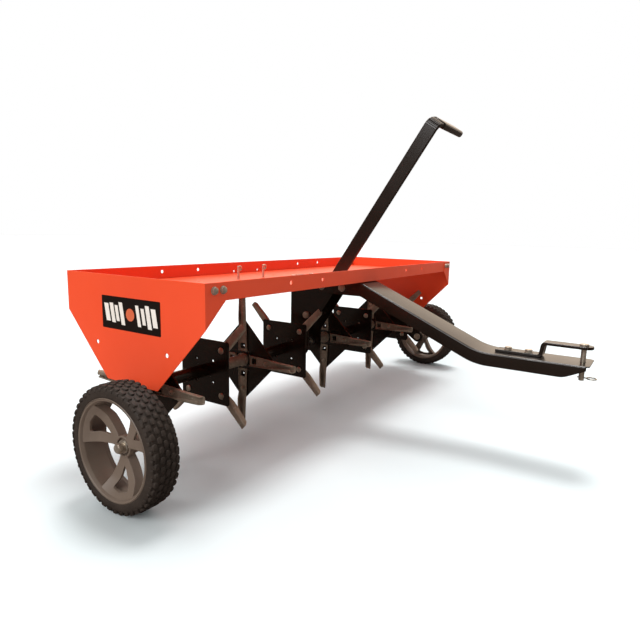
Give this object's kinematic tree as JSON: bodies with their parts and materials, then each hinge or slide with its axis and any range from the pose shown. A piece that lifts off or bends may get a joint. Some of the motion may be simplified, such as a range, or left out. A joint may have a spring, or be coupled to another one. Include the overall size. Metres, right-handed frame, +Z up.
{
  "type": "core aerator",
  "caption": "Tow-behind core aerator: weight tray on tapered end plates over spoon stars on two gangs, with cranked transport wheels, lift handle, drawbar and pin hitch.",
  "frame": {"origin": "under the middle of the machine, on the ground: centre of the bounding box's bottom", "axes": "+X to the machine's left along the tray, -Y forwards to the hitch, +Z up"},
  "size_m": [1.564, 1.0484, 0.8485],
  "materials": {
    "orange_paint": "satin",
    "black_paint": "gloss",
    "spoon_steel": "satin",
    "zinc_plate": "satin",
    "tyre_rubber": "matte",
    "rim_plastic": "satin",
    "bushing_plastic": "satin",
    "label_film": "gloss"
  },
  "bodies": {
    "frame": {"tray_pan": "orange_paint", "end_plate_right": "orange_paint", "end_plate_left": "orange_paint", "end_labels": "label_film", "frame_bolts": "zinc_plate", "tray_studs": "zinc_plate", "handle_guide": "black_paint", "centre_hanger_right": "black_paint", "centre_hanger_left": "black_paint", "end_hanger_right": "black_paint", "end_hanger_left": "black_paint", "axle_bushings": "bushing_plastic", "handle_pivot": "zinc_plate", "pivot_spacers": "zinc_plate", "tongue": "black_paint", "tongue_bolts": "zinc_plate", "hitch_strap": "black_paint"},
    "lift_axle": {"lift_axle": "zinc_plate", "axle_crank": "black_paint", "lower_link_pin": "zinc_plate", "wheel_arm_right": "black_paint", "wheel_arm_left": "black_paint", "wheel_spindles": "zinc_plate", "spindle_spacers": "zinc_plate", "wheel_nuts": "zinc_plate"},
    "lift_handle": {"lift_handle": "black_paint", "upper_link_pin": "zinc_plate"},
    "lift_link": {"lift_link": "black_paint"},
    "hitch_pin": {"hitch_pin": "zinc_plate"},
    "hitch_clip": {"hitch_clip": "zinc_plate"},
    "gang_right": {"gang_sleeve_right": "spoon_steel", "painted_spacers_right": "black_paint", "bare_spacers_right": "spoon_steel", "star_plate_right_1": "black_paint", "star_plate_right_2": "black_paint", "star_plate_right_3": "black_paint", "star_plate_right_4": "black_paint", "spoons_right_1": "spoon_steel", "spoons_right_2": "spoon_steel", "spoons_right_3": "spoon_steel", "spoons_right_4": "spoon_steel", "spoon_bolts_right": "zinc_plate"},
    "wheel_right": {"tyre_right": "tyre_rubber", "rim_right": "rim_plastic", "wheel_bushing_right": "bushing_plastic"},
    "gang_left": {"gang_sleeve_left": "spoon_steel", "painted_spacers_left": "black_paint", "bare_spacers_left": "spoon_steel", "star_plate_left_1": "black_paint", "star_plate_left_2": "black_paint", "star_plate_left_3": "black_paint", "star_plate_left_4": "black_paint", "spoons_left_1": "spoon_steel", "spoons_left_2": "spoon_steel", "spoons_left_3": "spoon_steel", "spoons_left_4": "spoon_steel", "spoon_bolts_left": "zinc_plate"},
    "wheel_left": {"tyre_left": "tyre_rubber", "rim_left": "rim_plastic", "wheel_bushing_left": "bushing_plastic"}
  },
  "joints": [
    {"name": "axle_lift", "type": "hinge", "parent": "frame", "child": "lift_axle", "pos_m": [0, 0.30102, 0.197], "axis": [1, 0, 0], "range_deg": [-45, 0]},
    {"name": "handle_swing", "type": "hinge", "parent": "frame", "child": "lift_handle", "pos_m": [0, 0.27402, 0.292], "axis": [1, 0, 0], "range_deg": [-45, 0]},
    {"name": "link_swing", "type": "hinge", "parent": "lift_handle", "child": "lift_link", "pos_m": [0, 0.3023, 0.32028], "axis": [1, 0, 0], "range_deg": [0, 45]},
    {"name": "gang_right_spin", "type": "hinge", "parent": "lift_axle", "child": "gang_right", "pos_m": [-0.34, 0.30102, 0.197], "axis": [1, 0, 0], "continuous": true},
    {"name": "gang_left_spin", "type": "hinge", "parent": "lift_axle", "child": "gang_left", "pos_m": [0.34, 0.30102, 0.197], "axis": [1, 0, 0], "continuous": true},
    {"name": "wheel_right_spin", "type": "hinge", "parent": "lift_axle", "child": "wheel_right", "pos_m": [-0.7515, 0.20102, 0.127], "axis": [1, 0, 0], "continuous": true},
    {"name": "wheel_left_spin", "type": "hinge", "parent": "lift_axle", "child": "wheel_left", "pos_m": [0.7515, 0.20102, 0.127], "axis": [1, 0, 0], "continuous": true},
    {"name": "hitch_pin_lift", "type": "slide", "parent": "frame", "child": "hitch_pin", "axis": [0, 0, 1], "range_m": [0, 0.09]},
    {"name": "hitch_clip_pull", "type": "slide", "parent": "hitch_pin", "child": "hitch_clip", "axis": [0, -1, 0], "range_m": [0, 0.09]}
  ],
  "couplings": [
    {"joint": "handle_swing", "follows": "axle_lift", "ratio": 1},
    {"joint": "link_swing", "follows": "axle_lift", "ratio": -1},
    {"joint": "hitch_clip_pull", "follows": "hitch_pin_lift", "ratio": 1}
  ]
}
